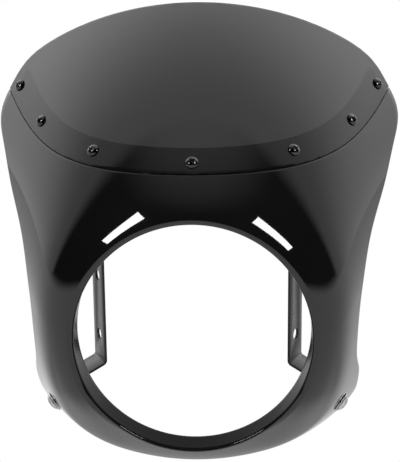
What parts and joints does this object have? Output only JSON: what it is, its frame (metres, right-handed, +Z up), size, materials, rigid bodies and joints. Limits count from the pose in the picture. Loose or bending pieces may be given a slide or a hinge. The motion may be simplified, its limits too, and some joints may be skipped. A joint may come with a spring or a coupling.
{
  "type": "headlight cowl",
  "caption": "Motorbike headlight cowl: a glossy black moulded shell around a round lamp opening, with a smoked windscreen screwed on top and sheet brackets for the fork inside.",
  "frame": {"origin": "centre of the round lamp opening, on the front plane of its rim", "axes": "+Z up, -Y forwards out of the lamp opening, +X to the right of someone facing the cowl"},
  "size_m": [0.33, 0.1759, 0.3459],
  "materials": {
    "shell_black": "high gloss black",
    "smoked_screen": "glossy dark smoke, very slightly see-through",
    "screw_black": "satin black",
    "nylon_black": "matt black",
    "bracket_black": "satin black"
  },
  "bodies": {
    "root": {"cowl_shell": "shell_black", "windscreen": "smoked_screen", "windscreen_screws": "screw_black", "windscreen_washers": "nylon_black", "windscreen_nuts": "nylon_black", "left_bracket": "bracket_black", "right_bracket": "bracket_black", "bracket_bolts": "screw_black", "bracket_outer_washers": "screw_black", "bracket_inner_washers": "screw_black", "bracket_nuts": "screw_black"}
  },
  "joints": []
}
